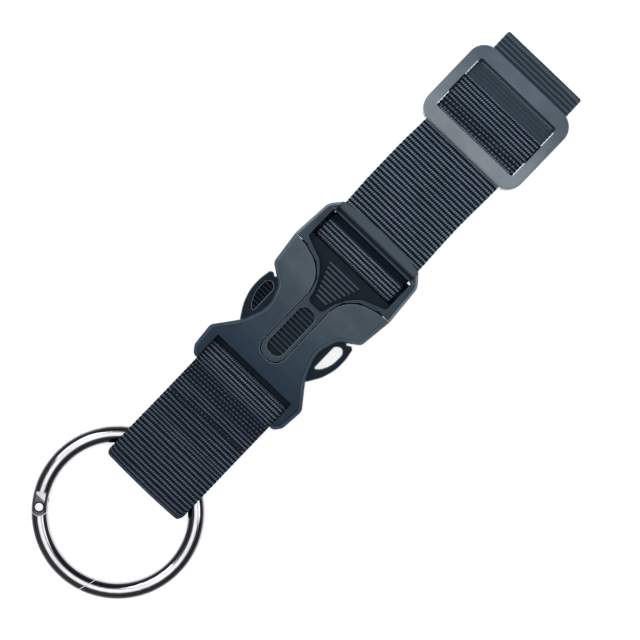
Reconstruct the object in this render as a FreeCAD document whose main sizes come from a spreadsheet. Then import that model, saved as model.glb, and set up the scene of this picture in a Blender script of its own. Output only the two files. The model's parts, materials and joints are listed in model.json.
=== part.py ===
import FreeCAD, Part
import math
import os
import Sketcher

# Luggage strap, millimetres. The object lies flat on its back: front face up (+Z), webbing along X with
# the gate ring at -X and the far fold at +X. Origin: bottom centre of the whole strap.
# In the expressions below, lengths along the strap are counted from the ring's centre and the whole
# object is moved back by half its length at the end, by each sub-part's Placement.

doc = FreeCAD.newDocument("luggage_strap")

DIMENSIONS = (
    ("webbing_width", 30.0),
    ("webbing_thickness", 1.3),
    ("layer_gap", 0.1),
    ("ring_mean_radius", 23.6),
    ("wire_radius", 2.6),
    ("wire_clearance", 0.25),
    ("ring_slack", 0.4),
    ("wedge_length", 4.6),
    ("flap_gap", 0.95),
    ("hinge_angle", 129.5),
    ("nose_angle", 203.3),
    ("nose_slant", 10.4),
    ("nose_gap", 0.6),
    ("gate_cut_reach", 5.0),
    ("gate_cut_far", 42.0),
    ("cheek_height", 2.15),
    ("cheek_length", 4.6),
    ("slot_half_height", 0.98),
    ("tongue_half_height", 0.86),
    ("knuckle_clearance", 0.2),
    ("rivet_radius", 0.8),
    ("rivet_clearance", 0.05),
    ("rivet_head_radius", 1.2),
    ("rivet_head_height", 0.1),
    ("spring_bore_radius", 0.85),
    ("spring_bore_length", 6.6),
    ("spring_radius", 0.6),
    ("spring_wire_radius", 0.14),
    ("spring_pitch", 0.62),
    ("spring_length", 3.7),
    ("plunger_radius", 0.75),
    ("plunger_length", 2.1),
    ("plunger_gap", 0.12),
    ("knuckle_flat", 2.2),
    ("spring_gap", 0.12),
    ("ring_strap_length", 18.05),
    ("bartack_at", 5.6),
    ("bartack_width", 1.9),
    ("bartack_height", 0.3),
    ("bartack_inset", 0.6),
    ("end_stitch_at", 12.5),
    ("stitch_length", 1.5),
    ("stitch_width", 0.6),
    ("stitch_height", 0.22),
    ("seam_at", 20.0),
    ("seam_row_spacing", 9.0),
    ("side_clearance", 0.15),
    ("buckle_height", 9.5),
    ("buckle_wall", 1.6),
    ("buckle_edge_fillet", 1.7),
    ("slot_edge_fillet", 0.4),
    ("strap_bar_radius", 1.9),
    ("strap_bar_at", 3.9),
    ("bar_clearance", 0.25),
    ("bar_wedge_length", 5.4),
    ("strap_mouth_depth", 9.5),
    ("mouth_sill_depth", 7.75),
    ("mouth_sill_drop", 4.0),
    ("mouth_lip_depth", 6.8),
    ("mouth_lip_height", 1.2),
    ("cavity_clearance", 0.35),
    ("guide_half_width", 4.2),
    ("guide_clearance", 0.25),
    ("guide_start", 14.3),
    ("guide_top_drop", 0.5),
    ("guide_corner", 3.9),
    ("recess_depth", 1.7),
    ("recess_start", 16.3),
    ("recess_end", 33.8),
    ("recess_half_width", 3.0),
    ("recess_corner", 2.6),
    ("rib_pitch", 1.4),
    ("rib_width", 0.55),
    ("rib_height", 1.1),
    ("funnel_floor_depth", 2.4),
    ("funnel_rib_inset", 0.8),
    ("seam_gap", 0.3),
    ("window_start", 51.1),
    ("window_frame", 49.7),
    ("window_end", 60.4),
    ("window_slot", 0.6),
    ("window_floor", 0.7),
    ("bar_ledge_length", 1.6),
    ("bar_ledge_drop", 0.9),
    ("window_margin", 1.15),
    ("loop_bar_at", 54.8),
    ("loop_bar_radius", 1.6),
    ("plug_end", 65.2),
    ("plug_bow", 0.4),
    ("passage_margin", 0.6),
    ("passage_clearance", 0.3),
    ("outer_bar_height", 2.4),
    ("prong_height", 5.4),
    ("prong_root_gap", 0.1),
    ("prong_root_reach", 1.6),
    ("prong_rounding", 0.5),
    ("web_drop", 1.4),
    ("web_thickness", 1.2),
    ("web_rib_start", 1.1),
    ("web_rib_pitch", 1.25),
    ("web_rib_width", 0.6),
    ("web_rib_height", 4.4),
    ("web_overlap", 0.3),
    ("web_reach", 3.6),
    ("loop_length", 70.3),
    ("slider_at", 48.45),
    ("slider_length", 29.3),
    ("slider_bar", 4.8),
    ("slider_margin", 4.3),
    ("slider_window_margin", 0.9),
    ("slider_corner", 5.5),
    ("slider_window_corner", 1.2),
    ("slider_front_height", 2.2),
    ("slider_centre_bar", 7.0),
    ("slider_centre_height", 1.8),
    ("slider_edge_fillet", 0.8),
)

# Half outlines in plan. Each row: name, distance along from the buckle's strap end, distance out beyond
# the webbing's edge (negative is inside it), and the corner's radius in plan (0 leaves it sharp).
SOCKET_SIDE = (
    ("mouth", 0.0, 1.5, 2.0),
    ("cheek", 2.4, 3.3, 2.6),
    ("shoulder", 10.0, 3.95, 2.4),
    ("slope", 17.8, -2.0, 14.0),
    ("waist_start", 24.4, -4.4, 8.0),
    ("waist_end", 27.6, -4.4, 7.0),
    ("lobe_foot", 32.6, -2.7, 4.0),
    ("lobe_top", 36.6, 3.2, 2.4),
    ("lobe_end", 47.4, 4.5, 0.0),
)
FUNNEL_SIDE = (
    ("neck", 37.4, -10.65, 2.6),
    ("flare", 41.6, -9.5, 8.0),
    ("rise", 45.2, -5.8, 10.0),
    ("rim", 46.9, -0.4, 14.0),
    ("edge", 47.4, 4.6, 0.0),
)
INNER_FUNNEL_SIDE = (
    ("throat", 35.3, -12.2, 1.6),
    ("throat_flare", 39.6, -11.4, 10.0),
    ("bell", 43.8, -9.0, 10.0),
    ("bell_turn", 46.5, -6.3, 3.0),
    ("bell_rim", 49.0, 0.1, 0.0),
)
CAVITY_SIDE = (
    ("tip_pocket", 12.9, -1.6, 0.0),
    ("tip_mouth", 18.4, -0.4, 0.0),
    ("side_open_start", 22.0, 6.0, 0.0),
    ("side_open_end", 31.5, 6.0, 0.0),
    ("lip_start", 32.6, 0.0, 0.0),
    ("lip_end", 38.2, 0.0, 0.0),
    ("lobe_pocket", 38.2, 2.7, 0.0),
)
PRONG_OUTSIDE = (
    ("root_inner", 46.1, -1.6, 0.3),
    ("root_outer", 46.5, 1.6, 0.3),
    ("root_block", 38.9, 1.3, 0.4),
    ("neck_end", 38.6, -0.4, 0.4),
    ("neck_start", 33.4, -0.4, 0.4),
    ("latch", 34.4, 1.3, 0.4),
    ("latch_top", 33.8, 2.2, 0.6),
    ("apex_end", 30.4, 2.8, 14.0),
    ("apex_start", 26.0, 2.8, 14.0),
    ("hoop_slope", 21.4, 1.3, 12.0),
    ("hoop_start", 17.8, -0.9, 10.0),
    ("tip", 14.6, -3.5, 0.4),
    ("tip_inner", 14.6, -4.2, 0.2),
    ("arm_waist", 24.6, -5.0, 20.0),
    ("arm", 33.8, -4.4, 6.0),
)
PRONG_HOLE = (
    ("point", 21.6, -2.4, 0.4),
    ("hole_bottom", 30.9, -2.4, 1.4),
    ("hole_back", 32.2, -0.3, 1.2),
    ("hole_top", 30.6, 1.0, 1.6),
    ("hole_slope", 26.2, 0.9, 8.0),
    ("hole_left", 23.0, -0.7, 4.0),
)
PLUG_RAIL = (
    ("rail_start", 47.6, 4.5, 0.0),
    ("rail_end", 60.6, 3.5, 4.0),
    ("rail_corner", 64.4, 0.3, 1.8),
)
OUTLINES = {
    "socket": SOCKET_SIDE,
    "funnel": FUNNEL_SIDE,
    "bell": INNER_FUNNEL_SIDE,
    "cavity": CAVITY_SIDE,
    "prong": PRONG_OUTSIDE,
    "hole": PRONG_HOLE,
    "rail": PLUG_RAIL,
}

dims = doc.addObject("Spreadsheet::Sheet", "dims")


def write_sheet():
    row = 1
    cells = list(DIMENSIONS)
    for outline, points in OUTLINES.items():
        for point, along, out, corner in points:
            cells.append((outline + "_" + point + "_along", along))
            cells.append((outline + "_" + point + "_out", out))
            if corner:
                cells.append((outline + "_" + point + "_round", corner))
    for alias, value in cells:
        dims.set("A%d" % row, alias)
        dims.set("B%d" % row, str(value))
        dims.setAlias("B%d" % row, alias)
        row += 1
    doc.recompute()


write_sheet()

HALF_WIDTH = "(dims.webbing_width / 2)"
RING_OUTER = "(dims.ring_mean_radius + dims.wire_radius)"
RING_INNER = "(dims.ring_mean_radius - dims.wire_radius)"
LEVEL = "(dims.wire_radius + dims.wire_clearance + dims.webbing_thickness)"
HALF_STACK = "(dims.layer_gap / 2 + dims.webbing_thickness)"
FLAP = "(%s + dims.ring_slack + dims.wedge_length + dims.flap_gap)" % RING_OUTER
BUCKLE = "(%s + dims.ring_strap_length)" % FLAP
FAR_FOLD = "(%s + dims.plug_end + dims.plug_bow + dims.loop_length)" % BUCKLE
MIDDLE = "((%s - %s) / 2)" % (FAR_FOLD, RING_OUTER)
STRAP_TOP = "(%s + %s)" % (LEVEL, HALF_STACK)
STRAP_BOTTOM = "(%s - %s)" % (LEVEL, HALF_STACK)
PASSAGE_TOP = "(%s + dims.passage_clearance)" % STRAP_TOP
SLIDER = "(%s + dims.plug_end + dims.plug_bow + dims.slider_at)" % BUCKLE
RIVET_X = "(dims.ring_mean_radius * cos(dims.hinge_angle))"
RIVET_Y = "(dims.ring_mean_radius * sin(dims.hinge_angle))"


def value(expression):
    result = dims.evalExpression(expression)
    return float(getattr(result, "Value", result))


def bind(target, **bindings):
    for prop, expression in bindings.items():
        target.setExpression(prop.replace("__", "."), expression)


def along(outline, point):
    return "(%s + dims.%s_%s_along)" % (BUCKLE, outline, point)


def out(outline, point):
    return "(%s + dims.%s_%s_out)" % (HALF_WIDTH, outline, point)


def negative(expression):
    return "(-1 * %s)" % expression


def side_points(outline):
    return [(along(outline, row[0]), out(outline, row[0])) for row in OUTLINES[outline]]


def mirrored(points):
    return points + [(at, negative(off)) for at, off in reversed(points)]


def draw(sketch, corners):
    """Add one closed loop. A corner is (x, y), or (x, y, centre_x, turn) for an arc that ends there."""
    spots = [(value(corner[0]), value(corner[1])) for corner in corners]
    first = sketch.GeometryCount
    count = len(corners)
    for index, corner in enumerate(corners):
        start = FreeCAD.Vector(*spots[index - 1], 0)
        end = FreeCAD.Vector(*spots[index], 0)
        if len(corner) == 2:
            sketch.addGeometry(Part.LineSegment(start, end), False)
            continue
        centre = FreeCAD.Vector(value(corner[2]), (start.y + end.y) / 2, 0)
        circle = Part.Circle(centre, FreeCAD.Vector(0, 0, 1), (end - centre).Length)
        begin_angle = math.atan2(start.y - centre.y, start.x - centre.x)
        end_angle = math.atan2(end.y - centre.y, end.x - centre.x)
        if corner[3] < 0:
            begin_angle, end_angle = end_angle, begin_angle
        sketch.addGeometry(Part.ArcOfCircle(circle, begin_angle, end_angle), False)
    for index, corner in enumerate(corners):
        piece = first + index
        following = first + (index + 1) % count
        is_arc = len(corner) > 2
        end_point = 1 if is_arc and corner[3] < 0 else 2
        next_corner = corners[(index + 1) % count]
        next_start = 2 if len(next_corner) > 2 and next_corner[3] < 0 else 1
        sketch.addConstraint(Sketcher.Constraint("Coincident", piece, end_point, following, next_start))
        for kind, expression, spot in (
            ("DistanceX", corner[0], spots[index][0]),
            ("DistanceY", corner[1], spots[index][1]),
        ):
            number = sketch.addConstraint(Sketcher.Constraint(kind, -1, 1, piece, end_point, spot))
            sketch.setExpression("Constraints[%d]" % number, expression)
        if is_arc:
            centre_x = value(corner[2])
            number = sketch.addConstraint(Sketcher.Constraint("DistanceX", -1, 1, piece, 3, centre_x))
            sketch.setExpression("Constraints[%d]" % number, corner[2])


def plan_sketch(body, name, loops, height="0", role="XY_Plane"):
    plane = [item for item in body.Origin.OriginFeatures if item.Role == role][0]
    sketch = body.newObject("Sketcher::SketchObject", name)
    sketch.AttachmentSupport = (plane, [""])
    sketch.MapMode = "FlatFace"
    sketch.setExpression("AttachmentOffset.Base.z", height)
    for loop in loops:
        draw(sketch, loop)
    doc.recompute()
    return sketch


def new_body(label):
    body = doc.addObject("PartDesign::Body", label)
    body.Label = label
    bind(body, Placement__Base__x=negative(MIDDLE))
    return body


def pad(body, name, loops, length, height="0"):
    """Pad upwards from the given height."""
    feature = body.newObject("PartDesign::Pad", name)
    feature.Profile = plan_sketch(body, name + "_sketch", loops, height)
    feature.setExpression("Length", length)
    doc.recompute()
    return feature


def pocket(body, name, loops, top, depth):
    """Cut downwards from the given height."""
    before = body.Shape.Volume
    feature = body.newObject("PartDesign::Pocket", name)
    feature.Profile = plan_sketch(body, name + "_sketch", loops, top)
    feature.setExpression("Length", depth)
    doc.recompute()
    if body.Shape.Volume >= before:
        raise RuntimeError(name + " cuts nothing")
    return feature


def side_pad(body, name, loops, width):
    """Pad a side view (X along, Z up) evenly to both sides of the strap's centre line."""
    feature = body.newObject("PartDesign::Pad", name)
    feature.Profile = plan_sketch(body, name + "_sketch", loops, "0", "XZ_Plane")
    feature.Midplane = True
    feature.setExpression("Length", width)
    doc.recompute()
    return feature


def rectangle(x_low, x_high, half_width):
    return [
        (x_low, negative(half_width)),
        (x_high, negative(half_width)),
        (x_high, half_width),
        (x_low, half_width),
    ]


def round_edges(body, name, radius, wanted):
    """Fillet the edges of the body's present shape for which wanted(edge) holds."""
    tip = body.Tip
    names = []
    for number, edge in enumerate(tip.Shape.Edges, 1):
        if wanted(edge):
            names.append("Edge%d" % number)
    feature = body.newObject("PartDesign::Fillet", name)
    feature.Base = (tip, names)
    feature.setExpression("Radius", radius)
    doc.recompute()
    if not names or feature.Shape.isNull() or not feature.isValid():
        raise RuntimeError("%s rounds nothing: %d edges" % (name, len(names)))
    return feature


def round_outline(body, outline, sides=(1, -1)):
    """Round each corner of an outline's upright edges with that corner's own radius."""
    for point, _, _, corner in OUTLINES[outline]:
        if not corner:
            continue
        x = value(along(outline, point))
        y = value(out(outline, point))

        def is_here(edge):
            spot = edge.CenterOfMass
            near = min(math.hypot(spot.x - x, spot.y - side * y) for side in sides)
            return is_upright(edge) and near < 0.01

        round_edges(body, "%s_%s_round_%s" % (body.Name, outline, point),
                    "dims.%s_%s_round" % (outline, point), is_here)


def new_flat_edges(body, earlier, height):
    """Edges of the body's present shape that lie flat at a height and weren't on an earlier shape."""
    old = [edge.CenterOfMass for edge in earlier.Edges]
    found = []
    for edge in body.Tip.Shape.Edges:
        box = edge.BoundBox
        if box.ZLength > 0.001 or abs(box.ZMin - height) > 0.001:
            continue
        if min((edge.CenterOfMass - spot).Length for spot in old) > 0.001:
            found.append(edge.CenterOfMass)
    return found


def is_upright(edge):
    box = edge.BoundBox
    return box.ZLength > 0.5 and box.XLength < 0.001 and box.YLength < 0.001


def move(expression, offset):
    return "(%s + %s)" % (expression, offset)


# --- Ring strap ---------------------------------------------------------------------------------------
def open_band(label, x_end, x_join, x_straight, x_fold, inner_radius, fold_turn):
    """Webbing folded round a bar: two layers side by side from x_end, opening out to the fold."""
    outer_radius = "(%s + dims.webbing_thickness)" % inner_radius
    gap = "(dims.layer_gap / 2)"
    body = new_body(label)
    loop = [
        (x_end, move(LEVEL, HALF_STACK)),
        (x_join, move(LEVEL, HALF_STACK)),
        (x_straight, move(LEVEL, outer_radius)),
        (x_fold, move(LEVEL, outer_radius)),
        (x_fold, "(%s - %s)" % (LEVEL, outer_radius), x_fold, fold_turn),
        (x_straight, "(%s - %s)" % (LEVEL, outer_radius)),
        (x_join, STRAP_BOTTOM),
        (x_end, STRAP_BOTTOM),
        (x_end, "(%s - %s)" % (LEVEL, gap)),
        (x_join, "(%s - %s)" % (LEVEL, gap)),
        (x_straight, "(%s - %s)" % (LEVEL, inner_radius)),
        (x_fold, "(%s - %s)" % (LEVEL, inner_radius)),
        (x_fold, move(LEVEL, inner_radius), x_fold, -fold_turn),
        (x_straight, move(LEVEL, inner_radius)),
        (x_join, move(LEVEL, gap)),
        (x_end, move(LEVEL, gap)),
    ]
    side_pad(body, label + "_band", [loop], "dims.webbing_width")
    return body


WIRE_PASSAGE = "(dims.wire_radius + dims.wire_clearance)"
LOOP_FOLD = "(sqrt(pow(%s; 2) - pow(%s; 2)) - dims.wire_clearance)" % (RING_INNER, HALF_WIDTH)
BAR_PASSAGE = "(dims.strap_bar_radius + dims.bar_clearance)"
STRAP_BAR = "(%s + dims.strap_bar_at)" % BUCKLE
LOOP_BAR_PASSAGE = "(dims.loop_bar_radius + dims.bar_clearance)"
LOOP_BAR = "(%s + dims.loop_bar_at)" % BUCKLE

open_band(
    "ring_strap_loop",
    "(%s - dims.flap_gap)" % FLAP,
    "(%s + dims.ring_slack + dims.wedge_length - dims.flap_gap)" % RING_OUTER,
    "(%s + dims.ring_slack)" % RING_OUTER,
    LOOP_FOLD,
    WIRE_PASSAGE,
    1,
)
open_band(
    "ring_strap",
    "(%s + dims.flap_gap)" % FLAP,
    "(%s - dims.bar_wedge_length)" % STRAP_BAR,
    "(%s - dims.bar_clearance)" % STRAP_BAR,
    STRAP_BAR,
    BAR_PASSAGE,
    -1,
)


# --- Long webbing loop ---------------------------------------------------------------------------------
def build_loop_strap():
    body = new_body("loop_strap")
    gap = "(dims.layer_gap / 2)"
    outer_radius = "(%s + dims.webbing_thickness)" % LOOP_BAR_PASSAGE
    x_join = "(%s + dims.bar_wedge_length)" % LOOP_BAR
    x_straight = "(%s + dims.bar_clearance)" % LOOP_BAR
    x_far = "(%s - %s)" % (FAR_FOLD, HALF_STACK)
    loops = []
    for bar_reach, stack_reach, turn in ((outer_radius, HALF_STACK, 1), (LOOP_BAR_PASSAGE, gap, 1)):
        loops.append([
            (x_far, move(LEVEL, stack_reach), x_far, turn),
            (x_join, move(LEVEL, stack_reach)),
            (x_straight, move(LEVEL, bar_reach)),
            (LOOP_BAR, move(LEVEL, bar_reach)),
            (LOOP_BAR, "(%s - %s)" % (LEVEL, bar_reach), LOOP_BAR, turn),
            (x_straight, "(%s - %s)" % (LEVEL, bar_reach)),
            (x_join, "(%s - %s)" % (LEVEL, stack_reach)),
            (x_far, "(%s - %s)" % (LEVEL, stack_reach)),
        ])
    side_pad(body, "loop_strap_band", loops, "dims.webbing_width")


build_loop_strap()


# --- Sewing --------------------------------------------------------------------------------------------
def box_at(name, x_low, y_low, z_low, length, width, height):
    box = doc.addObject("Part::Box", name)
    bind(
        box,
        Length=length,
        Width=width,
        Height=height,
        Placement__Base__x=x_low,
        Placement__Base__y=y_low,
        Placement__Base__z=z_low,
    )
    return box


def group(label, members):
    compound = doc.addObject("Part::Compound", label)
    compound.Label = label
    compound.Links = members
    bind(compound, Placement__Base__x=negative(MIDDLE))
    return compound


def build_bartack():
    x_low = "(%s + dims.bartack_at)" % FLAP
    y_low = "(dims.bartack_inset - %s)" % HALF_WIDTH
    width = "(dims.webbing_width - 2 * dims.bartack_inset)"
    members = [
        box_at("bartack_front", x_low, y_low, STRAP_TOP, "dims.bartack_width", width,
               "dims.bartack_height"),
        box_at("bartack_back", x_low, y_low, "(%s - dims.bartack_height)" % STRAP_BOTTOM,
               "dims.bartack_width", width, "dims.bartack_height"),
    ]
    group("ring_strap_bartack", members)


END_STITCH_COUNT = 12
SEAM_STITCH_COUNT = 11
SEAM_ROWS = 2


def stitch_row(prefix, x_low, z_low, count):
    members = []
    for number in range(count):
        share = "(%d / %d)" % (2 * number + 1, 2 * count)
        y_low = "(dims.webbing_width * %s - %s - dims.stitch_length / 2)" % (share, HALF_WIDTH)
        members.append(box_at(
            "%s_%d" % (prefix, number + 1), x_low, y_low, z_low,
            "dims.stitch_width", "dims.stitch_length", "dims.stitch_height",
        ))
    return members


def build_stitches():
    x_low = "(%s + dims.end_stitch_at - 4 * dims.stitch_width)" % FLAP
    group("ring_strap_stitches", stitch_row("end_stitch", x_low, "(%s - dims.stitch_height)" % STRAP_BOTTOM,
                                            END_STITCH_COUNT))
    members = []
    for row in range(SEAM_ROWS):
        x_row = "(%s + dims.plug_end + dims.seam_at + %d * dims.seam_row_spacing)" % (BUCKLE, row)
        members += stitch_row("seam_stitch_%d" % row, x_row, "(%s - dims.stitch_height)" % STRAP_BOTTOM,
                              SEAM_STITCH_COUNT)
    group("loop_seam_stitches", members)


build_bartack()
build_stitches()


# --- Buckle socket -------------------------------------------------------------------------------------
def cylinder_across(name, x_centre, z_centre, radius, half_length):
    """A round bar across the strap."""
    bar = doc.addObject("Part::Cylinder", name)
    bar.Placement.Rotation = FreeCAD.Rotation(FreeCAD.Vector(1, 0, 0), -90)
    bind(
        bar,
        Radius=radius,
        Height="(2 * %s)" % half_length,
        Placement__Base__x=x_centre,
        Placement__Base__y=negative(half_length),
        Placement__Base__z=z_centre,
    )
    return bar


def joined(label, base, others):
    result = doc.addObject("Part::MultiFuse", label)
    result.Label = label
    result.Shapes = [base] + others
    return result


def finish_part(part):
    bind(part, Placement__Base__x=negative(MIDDLE))
    return part


def plain_body(name):
    body = doc.addObject("PartDesign::Body", name)
    return body


def is_rim_edge(edge, heights, past_x=None):
    """An edge lying flat at one of the heights, off the centre line (the two end faces' edges)."""
    box = edge.BoundBox
    if box.ZLength > 0.001 or min(abs(box.ZMin - height) for height in heights) > 0.001:
        return False
    if past_x is not None:
        return box.XMax > past_x + 0.01
    return box.XLength > 0.001 or box.YLength < value(HALF_WIDTH)


def build_socket():
    body = plain_body("socket_moulding")
    pad(body, "socket_outline", [mirrored(side_points("socket"))], "dims.buckle_height")
    round_outline(body, "socket")
    heights = (0.0, value("dims.buckle_height"))
    round_edges(body, "socket_rim", "dims.buckle_edge_fillet", lambda edge: is_rim_edge(edge, heights))
    mouth_half = "(%s + dims.side_clearance)" % HALF_WIDTH
    before_mouth = "(%s - 1)" % BUCKLE
    for name, reach, depth in (
        ("strap_mouth", "dims.mouth_lip_depth", "dims.buckle_height"),
        ("mouth_lip", "dims.mouth_sill_depth", "(dims.buckle_height - dims.mouth_lip_height)"),
        ("mouth_sill", "dims.strap_mouth_depth", "dims.mouth_sill_drop"),
    ):
        mouth = rectangle(before_mouth, "(%s + %s)" % (BUCKLE, reach), mouth_half)
        pocket(body, "socket_" + name, [mouth], "dims.buckle_height", depth)
    open_end = "(%s + dims.plug_end)" % BUCKLE
    cavity = side_points("cavity") + [(open_end, out("cavity", "lobe_pocket"))]
    pocket(body, "socket_cavity", [mirrored(cavity)], "(dims.buckle_height - dims.buckle_wall)",
           "(dims.buckle_height - 2 * dims.buckle_wall)")
    guide_half = "(dims.guide_half_width + dims.guide_clearance)"
    funnel = [("(%s + dims.guide_start - dims.guide_clearance)" % BUCKLE, guide_half)]
    funnel += side_points("funnel")
    funnel += [(open_end, out("funnel", "edge"))]
    earlier = body.Tip.Shape
    pocket(body, "socket_guide_slot", [mirrored(funnel)], "dims.buckle_height",
           "(dims.buckle_wall + dims.cavity_clearance)")
    slot_start = value("(%s + dims.guide_start - dims.guide_clearance)" % BUCKLE)

    def is_slot_corner(edge):
        return is_upright(edge) and abs(edge.CenterOfMass.x - slot_start) < 0.01

    round_edges(body, "socket_slot_round", "dims.guide_corner", is_slot_corner)
    round_outline(body, "funnel")
    slot_rim = new_flat_edges(body, earlier, heights[1])

    def is_slot_rim(edge):
        return min((edge.CenterOfMass - spot).Length for spot in slot_rim) < 0.001

    round_edges(body, "socket_slot_rim", "dims.slot_edge_fillet", is_slot_rim)
    bar_half = "(%s + dims.side_clearance + dims.strap_bar_radius / 2)" % HALF_WIDTH
    bar = cylinder_across("socket_bar", STRAP_BAR, LEVEL, "dims.strap_bar_radius", bar_half)
    finish_part(joined("buckle_socket", body, [bar]))


build_socket()


# --- Buckle plug ---------------------------------------------------------------------------------------
def build_plug():
    body = plain_body("plug_moulding")
    rails = side_points("rail")
    end_x = "(%s + dims.plug_end)" % BUCKLE
    bow_x = "(%s + dims.plug_end + dims.plug_bow)" % BUCKLE
    frame = rails + [(end_x, "(%s / 2)" % HALF_WIDTH), (bow_x, "(%s / 8)" % HALF_WIDTH)]
    pad(body, "plug_frame", [mirrored(frame)], "dims.buckle_height")
    round_outline(body, "rail")
    heights = (0.0, value("dims.buckle_height"))
    seam_x = value(along("rail", "rail_start"))
    round_edges(body, "plug_rim", "dims.buckle_edge_fillet",
                lambda edge: is_rim_edge(edge, heights, seam_x))
    guide_base = "(dims.buckle_wall + dims.cavity_clearance)"
    guide_top = "(dims.buckle_height - dims.guide_top_drop)"
    guide = [("(%s + dims.guide_start)" % BUCKLE, "dims.guide_half_width")]
    for point in FUNNEL_SIDE[:-1]:
        inset = "(%s - dims.guide_clearance)" % out("funnel", point[0])
        guide.append(("(%s + dims.seam_gap)" % along("funnel", point[0]), inset))
    window_half = "(%s + dims.window_margin)" % HALF_WIDTH
    window_frame = "(%s + dims.window_frame)" % BUCKLE
    guide.append((window_frame, window_half))
    pad(body, "plug_guide", [mirrored(guide)], "(%s - %s)" % (guide_top, guide_base), guide_base)
    guide_start = value("(%s + dims.guide_start)" % BUCKLE)

    def is_guide_corner(edge):
        return is_upright(edge) and abs(edge.CenterOfMass.x - guide_start) < 0.01

    round_edges(body, "plug_guide_round", "dims.guide_corner", is_guide_corner)
    window_start = "(%s + dims.window_start)" % BUCKLE
    window_end = "(%s + dims.window_end)" % BUCKLE
    pocket(body, "plug_window", [rectangle(window_start, window_end, window_half)], "dims.buckle_height",
           "(dims.buckle_height - dims.window_floor)")
    slot_low = "(%s - dims.window_slot)" % window_end
    slot = [(slot_low, negative(window_half)), (window_end, negative(window_half)),
            (window_end, HALF_WIDTH), (slot_low, HALF_WIDTH)]
    pocket(body, "plug_window_slot", [slot], "(2 * dims.window_floor)", "(2 * dims.window_floor)")
    passage_half = "(%s + dims.passage_margin)" % HALF_WIDTH
    beyond = "(%s + 1)" % bow_x
    pocket(body, "plug_passage", [rectangle(window_end, beyond, passage_half)], PASSAGE_TOP, PASSAGE_TOP)
    rest_top = "(%s + dims.outer_bar_height)" % PASSAGE_TOP
    pocket(body, "plug_bar_step", [rectangle("(%s - 0.2)" % window_end, beyond, passage_half)],
           "dims.buckle_height", "(dims.buckle_height - %s)" % rest_top)
    ledge = rectangle("(%s - 0.2)" % window_end, "(%s + dims.bar_ledge_length)" % window_end, passage_half)
    pocket(body, "plug_bar_ledge", [ledge], rest_top, "dims.bar_ledge_drop")
    bell = side_points("bell") + [(window_frame, window_half), ("(%s + 0.5)" % window_start, window_half)]
    pocket(body, "plug_bell", [mirrored(bell)], "dims.buckle_height",
           "(dims.guide_top_drop + dims.funnel_floor_depth)")
    round_outline(body, "bell")
    recess = rectangle("(%s + dims.recess_start)" % BUCKLE, "(%s + dims.recess_end)" % BUCKLE,
                       "dims.recess_half_width")
    pocket(body, "plug_recess", [recess], "dims.buckle_height",
           "(dims.guide_top_drop + dims.recess_depth)")
    recess_x = (value("(%s + dims.recess_start)" % BUCKLE), value("(%s + dims.recess_end)" % BUCKLE))

    def is_recess_corner(edge):
        near = min(abs(edge.CenterOfMass.x - recess_x[0]), abs(edge.CenterOfMass.x - recess_x[1]))
        return is_upright(edge) and near < 0.01

    round_edges(body, "plug_recess_round", "dims.recess_corner", is_recess_corner)
    guide_level = value(guide_top)
    throat_x = value(along("bell", "throat"))

    def is_guide_rim(edge):
        box = edge.BoundBox
        return box.ZLength < 0.001 and abs(box.ZMin - guide_level) < 0.001 and box.XMax < throat_x

    round_edges(body, "plug_guide_rim", "dims.slot_edge_fillet", is_guide_rim)
    bar_half = "(%s + dims.window_margin + dims.loop_bar_radius / 2)" % HALF_WIDTH
    bar = cylinder_across("plug_bar", LOOP_BAR, LEVEL, "dims.loop_bar_radius", bar_half)
    finish_part(joined("buckle_plug", body, [bar] + build_guide_ribs() + build_prong_roots()))


GUIDE_RIBS = 11
FUNNEL_RIBS = 8
RIB_ROOT = 0.3


def build_guide_ribs():
    ribs = []
    floor = "(dims.buckle_height - dims.guide_top_drop - dims.recess_depth - %s)" % RIB_ROOT
    for number in range(GUIDE_RIBS):
        x_low = "(%s + dims.recess_start + dims.recess_corner + %d * dims.rib_pitch - dims.rib_width)" % (
            BUCKLE, number)
        ribs.append(box_at(
            "guide_rib_%d" % (number + 1), x_low, "(-1 * dims.recess_half_width - 0.2)", floor,
            "dims.rib_width", "(2 * dims.recess_half_width + 0.4)", "(dims.rib_height + %s)" % RIB_ROOT,
        ))
    low = "(dims.buckle_height - dims.guide_top_drop - dims.funnel_floor_depth - %s)" % RIB_ROOT
    first = "(%s + dims.bell_throat_along + 2 * dims.rib_pitch)" % BUCKLE
    for number in range(FUNNEL_RIBS):
        reach = "(dims.recess_half_width - dims.funnel_rib_inset + %d * dims.rib_width)" % number
        ribs.append(box_at(
            "funnel_rib_%d" % (number + 1), "(%s + %d * dims.rib_pitch)" % (first, number),
            negative(reach), low, "dims.rib_width", "(2 * %s)" % reach,
            "(dims.rib_height + %s)" % RIB_ROOT,
        ))
    return ribs


def build_prong_roots():
    """Blocks on the plug's frame that the two prongs grow from."""
    x_low = "(%s + dims.prong_root_gap)" % along("prong", "root_outer")
    low = "((dims.buckle_height - dims.prong_height) / 2)"
    inside = out("prong", "root_inner")
    outside = out("prong", "root_outer")
    width = "(%s - %s)" % (outside, inside)
    roots = []
    for name, y_low in (("root_left", inside), ("root_right", negative(outside))):
        roots.append(box_at(name, x_low, y_low, low, "dims.prong_root_reach", width, "dims.prong_height"))
    return roots


build_plug()


# --- Prongs --------------------------------------------------------------------------------------------
WEB_RIBS = 7


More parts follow.
